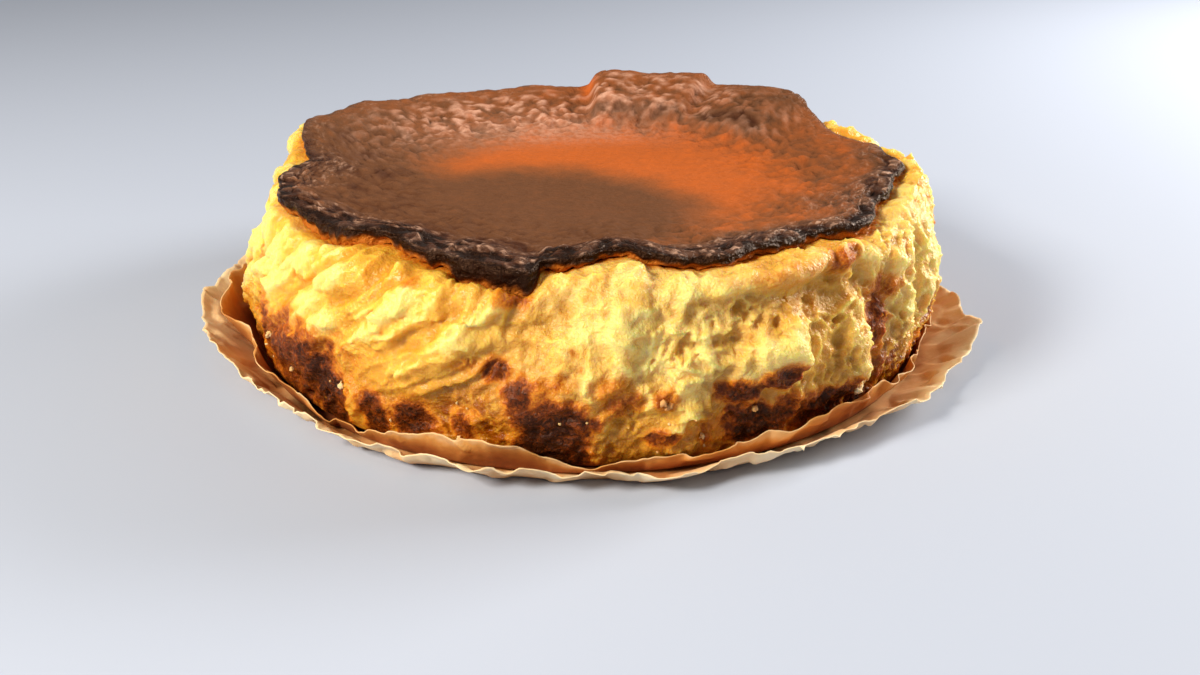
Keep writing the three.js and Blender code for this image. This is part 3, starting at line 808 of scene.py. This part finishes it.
# Painted shade: cracks in the crust and crevices on the lobes and back wall are painted darker.
soot_and_shading += 0.25 * np.maximum(crust * crack, 0.6 * wrinkled * crevice)
hanging = ramp(TONGUE["start"], TONGUE["full"], np.degrees(bearing)) * ramp(-4, -8, np.degrees(bearing))
edge_low = LIP_FACE - 0.14 - 0.2 * hanging - 0.2 * drips
edge = np.where(at_span == LIP, ramp(edge_low - 0.15, edge_low + 0.1, share) * ramp(1.0, 0.72, share), 0)
soot_and_shading += (1.0 - soot_and_shading) * edge * (0.3 + 0.7 * front)
amber = np.where(at_span == LIP, ramp(edge_low + 0.05, edge_low - 0.25, share), at_span == UNDER)
write(skin_mesh, "soot_and_shading", soot_and_shading)
write(skin_mesh, "amber", amber)
write(skin_mesh, "crust", np.maximum(crust, at_span == LIP))
skin_mesh.attributes.new("strip", "FLOAT_VECTOR", "POINT").data.foreach_set("vector", (strip * MM).ravel())
# Painted highlights: small glints painted on the crests of the crust's wrinkles.
on_top = np.where(at_span == LIP, ramp(0.6, 0.95, share), 1)
write(skin_mesh, "glint", on_top * crust * ramp(-0.1, 0.4, wrinkles) * (1 - 0.7 * crack))
# Painted sheen: a pinkish reflection painted on the crests of the wrinkles, and as a haze at the back of the
# dish.
sheen_crests = ramp(-0.25, 0.45, rumple) * (1 - crevice) * ramp(1, 7, inwards)
sheen_haze = near(bearing, -168, 38) * bell((inwards - 34) / 13)
sheen = np.minimum(1.2 * wrinkled, 1) * sheen_crests * (1 - 0.9 * second_lobe)
write(skin_mesh, "sheen", np.maximum(sheen, 0.5 * sheen_haze))
write(skin_mesh, "mottled", np.maximum(wrinkled, 0.6 * np.maximum(left_wall, right_wall)))

# Burnt skin: sugar and milk fat caramelised to leather, orange-brown where thin and brown-black on its edge.
# It has a painted pinkish sheen on its wrinkles, small painted glints on its crust, and is amber under the
# lip.
skin_material, tree = new_material("burnt_skin")
where = add(tree, "ShaderNodeTexCoord").outputs["Object"]
strip_in = add(tree, "ShaderNodeAttribute", attribute_name="strip").outputs["Vector"]
soot_and_shading_in, crust_in, sheen_in, glint_in, mottled_in, amber_in = (
    add(tree, "ShaderNodeAttribute", attribute_name=name).outputs["Fac"]
    for name in ("soot_and_shading", "crust", "sheen", "glint", "mottled", "amber")
)
mottle, pores, creping, sparkle = (
    add(tree, "ShaderNodeTexNoise", {"Vector": field, "Scale": 1 / size, "Detail": detail}).outputs["Fac"]
    for field, size, detail in (
        (where, 4 * MM, 6.0), (where, 1.8 * MM, 4.0), (strip_in, 1.8 * MM, 3.0), (strip_in, 1.0 * MM, 2.0)
    )
)
cloud = add(tree, "ShaderNodeMath", {0: mottle, 1: 0.5}, operation="SUBTRACT").outputs[0]
uneven = add(tree, "ShaderNodeMapRange", {"Value": mottled_in, 1: 0.0, 2: 1.0, 3: 0.16, 4: 0.3}).outputs[0]
depth = add(tree, "ShaderNodeMath", {0: cloud, 1: uneven, 2: soot_and_shading_in}, operation="MULTIPLY_ADD").outputs[0]
skin_scale = [(0.0, "#c2622a"), (0.28, "#90532f"), (0.52, "#69452f"), (0.75, "#44261a"), (1.0, "#1c0c06")]
skin = add(tree, "ShaderNodeValToRGB", {0: depth}, stops=skin_scale).outputs[0]
# Painted sheen: the pinkish reflection is laid on in patches.
sheen_patches = add(tree, "ShaderNodeMapRange", {"Value": creping, 1: 0.36, 2: 0.64, 3: 0.35, 4: 1.0}).outputs[0]
sheen_share = add(tree, "ShaderNodeMath", {0: sheen_patches, 1: sheen_in}, operation="MULTIPLY").outputs[0]
# Painted glints: bright specks mixed into the crust's colour.
glint_spots = add(tree, "ShaderNodeMapRange", {"Value": sparkle, 1: 0.5, 2: 0.62, 3: 0.08, 4: 1.0}).outputs[0]
glint_share = add(tree, "ShaderNodeMath", {0: glint_spots, 1: glint_in}, operation="MULTIPLY").outputs[0]
for cover, code in [(sheen_share, "#d9a993"), (glint_share, "#c49c86")]:
    skin = add(tree, "ShaderNodeMix", {0: cover, 6: skin, 7: colour(code)}, data_type="RGBA").outputs[2]
amber_scale = [(0.0, "#2a140a"), (0.45, "#6c3610"), (1.0, "#b86a22")]
caramelised = add(tree, "ShaderNodeValToRGB", {0: amber_in}, stops=amber_scale).outputs[0]
amber_share = add(tree, "ShaderNodeMapRange", {"Value": amber_in, 1: 0.0, 2: 0.3}).outputs[0]
edged = add(tree, "ShaderNodeMix", {0: amber_share, 6: skin, 7: caramelised}, data_type="RGBA").outputs[2]
popped = add(tree, "ShaderNodeMath", {0: pores, 1: crust_in}, operation="MULTIPLY").outputs[0]
grit = add(tree, "ShaderNodeMath", {0: popped, 1: 1.5, 2: pores}, operation="MULTIPLY_ADD").outputs[0]
skin_bump = add(tree, "ShaderNodeBump", {"Height": grit, "Strength": 0.8, "Distance": 1.0 * MM}).outputs[0]
dullness = add(tree, "ShaderNodeMapRange", {"Value": crust_in, 1: 0.1, 2: 0.8, 3: 0.72, 4: 0.36}).outputs[0]
gloss = add(tree, "ShaderNodeMapRange", {"Value": crust_in, 1: 0.1, 2: 0.8, 3: 0.12, 4: 0.35}).outputs[0]
skin_shader = add(tree, "ShaderNodeBsdfPrincipled", {
    "Base Color": edged,
    "Roughness": dullness,
    "IOR": 1.46,
    "Specular IOR Level": gloss,
    "Specular Tint": colour("#f0b48c"),
    "Normal": skin_bump,
})
add(tree, "ShaderNodeOutputMaterial", {"Surface": skin_shader.outputs[0]})
shown("burnt_skin", skin_mesh, skin_material, "cheesecake")

# The inner sheet of baking paper: it lined the tin, so it is pleated up the foot of the cake and torn off
# unevenly. It is rolled flat and up the foot, then dented. It has soaked up fat and browned where it touches.
PAPER_AROUND = 900
CREASE_COUNT = 380
SHEET = 0.3
INNER_LEVEL = 1.55
INNER_RISE = 8.0
INNER_LEAN = 0.25
INNER_GAP = 0.9
INNER_LEAST = 2.0
INNER_PLEATS = 46
PLEAT_LEAN = 0.16
DENT_LIMITS = (-1.4, 0.25)
INNER_EDGE_FEATURES = [
    dict(bearing=-40, spread=12, out=0, up=-5),
    dict(bearing=-16, spread=9, out=0, up=3),
    dict(bearing=2, spread=7, out=0, up=-4),
    dict(bearing=16, spread=9, out=0, up=-3),
    dict(bearing=42, spread=15, out=0, up=4),
    dict(bearing=72, spread=12, out=0, up=-2),
    dict(bearing=-80, spread=22, out=0, up=11),
    dict(bearing=-160, spread=24, out=0, up=4),
]


def pleats(count, seed, bearing):
    """Sharp folds scattered round a turn, from 0 between them up to about 1 on a fold."""
    total = np.zeros_like(bearing)
    for i in range(count):
        middle = 360 * (i + 0.9 * scatter(seed + i)) / count
        half_width = math.radians(1.3 + 3.4 * scatter(seed + i + 0.3))
        crest = 0.25 + 0.75 * scatter(seed + i + 0.6) ** 2
        fold = np.clip(1 - np.abs(bearing_gap(bearing, middle)) / half_width, 0, 1)
        total = np.maximum(total, crest * fold)
    return total


def torn_edge(seed, bearing):
    ring = place(TIN_RADIUS, bearing, 0)
    return 2.4 * grain(ring, 17, seed) + 1.2 * grain(ring, 5, seed + 1) + 0.35 * grain(ring, 1.8, seed + 2)


def inner_wall(t, bearing):
    rise = INNER_RISE + feature_sum(INNER_EDGE_FEATURES, "up", bearing) + torn_edge(50, bearing)
    up = np.maximum(rise, INNER_LEAST) * t
    creased = PLEAT_LEAN * pleats(INNER_PLEATS, 800, bearing)
    radius = side_radius(bearing, INNER_LEVEL + up) + INNER_GAP + (INNER_LEAN + creased) * up
    return radius, INNER_LEVEL + up


def flat_under(wall, level):
    """The flat round of a sheet, from its middle out to the foot of its wall."""
    return lambda t, bearing: (t * wall(0 * t, bearing)[0], np.full_like(bearing, level))


def crumpled(name, spans, depth, seed):
    """A rolled sheet, dented more towards its edge, with each point's share of the wall kept."""
    mesh, bearing, at_span, share = rolled(name, spans, PAPER_AROUND)
    points = points_of(mesh)
    wall_share = np.where(at_span == 1, share, 0)
    crease_middles = place(TIN_RADIUS + draw.uniform(2, 18, CREASE_COUNT),
                           draw.uniform(-math.pi, math.pi, CREASE_COUNT), draw.uniform(0, 14, CREASE_COUNT))
    crease_out = draw.uniform(-0.6, 0.6, CREASE_COUNT)
    crease_tilt = draw.normal(0, 0.16, (CREASE_COUNT, 3))
    dents = facets(points, crease_middles, crease_out, crease_tilt, 0.4) + 0.25 * grain(points, 3, seed)
    dents = np.clip(depth * wall_share**0.7 * dents, *DENT_LIMITS)
    moved = points - dents[:, None] * normals_of(mesh)
    moved[:, 2] = np.maximum(moved[:, 2], SHEET)
    set_points(mesh, moved)
    write(mesh, "edge", wall_share)
    return mesh


INNER_SPANS = [(3, flat_under(inner_wall, INNER_LEVEL)), (20, inner_wall)]
inner_mesh = crumpled("inner_paper_sheet", INNER_SPANS, 1.2, 60)


# Baking paper: unbleached siliconised paper, tan and matt, gone brown and clear with fat next to the cake.
def baking_paper(name, scale):
    """The same paper, as far soaked as the scale of colours says, from the cake out to the torn edge."""
    material, tree = new_material(name)
    where = add(tree, "ShaderNodeTexCoord").outputs["Object"]
    edge_in = add(tree, "ShaderNodeAttribute", attribute_name="edge").outputs["Fac"]
    stains, fibres = (
        add(tree, "ShaderNodeTexNoise", {"Vector": where, "Scale": 1 / size, "Detail": detail}).outputs["Fac"]
        for size, detail in ((17 * MM, 6.0), (1.2 * MM, 3.0))
    )
    soaked = add(tree, "ShaderNodeMath", {0: stains, 1: 2.0, 2: edge_in}, operation="MULTIPLY_ADD").outputs[0]
    spread = add(tree, "ShaderNodeMapRange", {"Value": soaked, 1: 0.85, 2: 2.1}).outputs[0]
    paper_colour = add(tree, "ShaderNodeValToRGB", {0: spread}, stops=scale).outputs[0]
    paper_bump = add(tree, "ShaderNodeBump", {
        "Height": fibres, "Strength": 0.3, "Distance": 0.3 * MM
    }).outputs[0]
    shader = add(tree, "ShaderNodeBsdfPrincipled", {
        "Base Color": paper_colour,
        "Roughness": 0.55,
        "IOR": 1.45,
        "Specular IOR Level": 0.4,
        "Subsurface Weight": 0.2,
        "Subsurface Radius": (1.0, 0.6, 0.35),
        "Subsurface Scale": 1.0 * MM,
        "Normal": paper_bump,
    })
    add(tree, "ShaderNodeOutputMaterial", {"Surface": shader.outputs[0]})
    return material


def thickened(piece):
    thick = piece.modifiers.new("thickness", "SOLIDIFY")
    thick.thickness = SHEET * MM
    thick.offset = 0


SOAKED = [(0.0, "#6b3517"), (0.35, "#9c582a"), (0.65, "#bf7d3f"), (0.85, "#d89d55"), (1.0, "#e6bd8a")]
soaked_paper = baking_paper("soaked_baking_paper", SOAKED)
thickened(shown("inner_paper_sheet", inner_mesh, soaked_paper, "inner_paper"))

# The outer sheet of baking paper: laid under the first, it has opened out flatter round the cake and reaches
# further, with broad folds. It is made as the inner sheet is, and is less soaked.
OUTER_LEVEL = 0.35
OUTER_RISE = 9.0
OUTER_REACH = 5.0
OUTER_CURL = 1.3
OUTER_GAP = 2.4
OUTER_LEAN = 0.28
OUTER_LEAST = 3.0
OUTER_PLEATS = 34
OUTER_FOLD = 1.2
LEFT_FOLD = 1.5
OUTER_EDGE_FEATURES = [
    dict(bearing=-88, spread=26, out=2, up=5),
    dict(bearing=-42, spread=14, out=-2.5, up=-1),
    dict(bearing=75, spread=22, out=6, up=-1),
    dict(bearing=0, spread=30, out=-1.5, up=-2),
    dict(bearing=165, spread=26, out=1, up=2),
]


def outer_wall(t, bearing):
    rise = OUTER_RISE + feature_sum(OUTER_EDGE_FEATURES, "up", bearing) + torn_edge(70, bearing)
    ring = place(TIN_RADIUS, bearing, 0)
    reach = OUTER_REACH + feature_sum(OUTER_EDGE_FEATURES, "out", bearing) + 2.5 * grain(ring, 20, 73)
    up = np.maximum(rise, OUTER_LEAST) * t**OUTER_CURL
    clear = OUTER_GAP + (INNER_LEAN + OUTER_LEAN) * up
    deep = OUTER_FOLD + LEFT_FOLD * near(bearing, -75, 45)
    fold = deep * (pleats(OUTER_PLEATS, 900, bearing) - 0.25) * t
    radius = side_radius(bearing, INNER_LEVEL + up) + clear + (reach + fold) * t
    return radius, OUTER_LEVEL + up + 0.6 * fold * t


OUTER_SPANS = [(3, flat_under(outer_wall, OUTER_LEVEL)), (22, outer_wall)]
outer_mesh = crumpled("outer_paper_sheet", OUTER_SPANS, 1.5, 80)
CLEAN = [(0.0, "#b47440"), (0.3, "#d8a46e"), (0.7, "#edc796"), (1.0, "#f5dcb4")]
clean_paper = baking_paper("clean_baking_paper", CLEAN)
thickened(shown("outer_paper_sheet", outer_mesh, clean_paper, "outer_paper"))

# Crumbs: flecks of pale curd that broke off as the paper was pulled down. Each is a small uneven ball that
# sticks to the curd's side, and the largest cling together low down at the right. A crumb has a bearing, a
# height and a size.
CRUMBS = [(40.8, 15.3, 1.9), (42, 15.9, 2.1), (43.2, 15.2, 1.8), (44.2, 15.6, 1.4), (42.4, 14.2, 1.5)]
CRUMBS += [(10, 24.5, 1.2), (10.8, 24, 1.0), (10.4, 23.2, 0.9)]
CRUMBS += [(-57, 20, 1.2), (-49, 15, 0.9), (-18.5, 8, 1.2), (-17.5, 9.5, 1.0)]
for i in range(60):
    CRUMBS.append((
        360 * scatter(i + 1000) - 180,
        7 + 18 * scatter(i + 1100) ** 1.5,
        0.4 + 0.7 * scatter(i + 1200) ** 3,
    ))
curd_points = points_of(curd_mesh)
curd_normals = normals_of(curd_mesh)
curd_bearing = np.arctan2(curd_points[:, 0], -curd_points[:, 1])
crumb_shape = bmesh.new()
for crumb_bearing, crumb_height, size in CRUMBS:
    across = bearing_gap(curd_bearing, crumb_bearing) * TIN_RADIUS
    away = np.hypot(across, curd_points[:, 2] - crumb_height) + 99 * (curd_points[:, 2] > SHOULDER_HEIGHT)
    nearest = int(np.argmin(away))
    middle = Vector(curd_points[nearest] + 0.6 * size * curd_normals[nearest])
    made = bmesh.ops.create_icosphere(
        crumb_shape, subdivisions=3, radius=size * MM, matrix=Matrix.Translation(middle * MM)
    )
    corners = np.array([v.co for v in made["verts"]]) / MM
    bumps = 0.75 + 0.7 * grain(corners, 1.3 * size, 90) + 0.5 * grain(corners, 0.55 * size, 91)
    for v, bump in zip(made["verts"], bumps):
        v.co = (middle + (v.co / MM - middle) * float(bump)) * MM
crumb_mesh = bpy.data.meshes.new("crumbs")
crumb_shape.to_mesh(crumb_mesh)
crumb_shape.free()

# Dry crumb: the same curd, broken and dried in the oven, cream to toffee from one crumb to the next.
crumb_material, tree = new_material("dry_crumb")
where = add(tree, "ShaderNodeTexCoord").outputs["Object"]
batch = add(tree, "ShaderNodeTexNoise", {
    "Vector": where, "Scale": 1 / (9 * MM), "Detail": 2.0
}).outputs["Fac"]
crumb_scale = [(0.3, "#b9793c"), (0.5, "#dcae72"), (0.65, "#efd3a2")]
crumb_colour = add(tree, "ShaderNodeValToRGB", {0: batch}, stops=crumb_scale).outputs[0]
crumb_shader = add(tree, "ShaderNodeBsdfPrincipled", {
    "Base Color": crumb_colour,
    "Roughness": 0.6,
    "IOR": 1.42,
    "Subsurface Weight": 0.3,
    "Subsurface Radius": (1.0, 0.6, 0.2),
    "Subsurface Scale": 2.0 * MM,
})
add(tree, "ShaderNodeOutputMaterial", {"Surface": crumb_shader.outputs[0]})
shown("crumbs", crumb_mesh, crumb_material, "cheesecake")

# The floor: a plain, pale, slightly blue surface for the cake to stand on.
FLOOR_HALF = 2.0
floor_shape = bmesh.new()
bmesh.ops.create_grid(floor_shape, x_segments=1, y_segments=1, size=FLOOR_HALF)
floor_mesh = bpy.data.meshes.new("floor")
floor_shape.to_mesh(floor_mesh)
floor_shape.free()
floor_material, tree = new_material("pale_floor")
floor_shader = add(tree, "ShaderNodeBsdfPrincipled", {"Base Color": colour("#b4bfd6"), "Roughness": 0.8})
add(tree, "ShaderNodeOutputMaterial", {"Surface": floor_shader.outputs[0]})
floor_mesh.materials.append(floor_material)
floor = bpy.data.objects.new("floor", floor_mesh)
bpy.context.scene.collection.objects.link(floor)

# The light: a warm soft lamp from the front left, a wider one from behind on the right, and a pale sky.
CAKE_MIDDLE = Vector((0, 0, 30)) * MM


def lamp(name, stand, size, energy, tint):
    data = bpy.data.lights.new(name, "AREA")
    data.size = size
    data.energy = energy
    data.color = tint
    made = bpy.data.objects.new(name, data)
    made.location = stand
    made.rotation_euler = (CAKE_MIDDLE - Vector(stand)).to_track_quat("-Z", "Y").to_euler()
    bpy.context.scene.collection.objects.link(made)


lamp("key", (-0.7, -0.59, 0.68), 0.3, 16, (1.0, 0.9, 0.74))
lamp("back", (0.98, 0.38, 0.42), 0.5, 18.5, (1.0, 0.93, 0.82))
world = bpy.data.worlds.new("sky")
world.use_nodes = True
world.node_tree.nodes["Background"].inputs["Color"].default_value = colour("#e9e5de")
world.node_tree.nodes["Background"].inputs["Strength"].default_value = 0.33
bpy.context.scene.world = world
bpy.context.scene.view_settings.view_transform = "Standard"

# The camera: a little above the cake and close to it, looking down over its front lip.
EYE = Vector((4.0, -397.1, 172.1)) * MM
PITCH = math.radians(24.61)
camera_data = bpy.data.cameras.new("camera")
camera_data.sensor_width = 36
camera_data.lens = 36
camera = bpy.data.objects.new("camera", camera_data)
camera.location = EYE
camera.rotation_euler = (math.pi / 2 - PITCH, 0, 0)
bpy.context.scene.collection.objects.link(camera)
bpy.context.scene.camera = camera
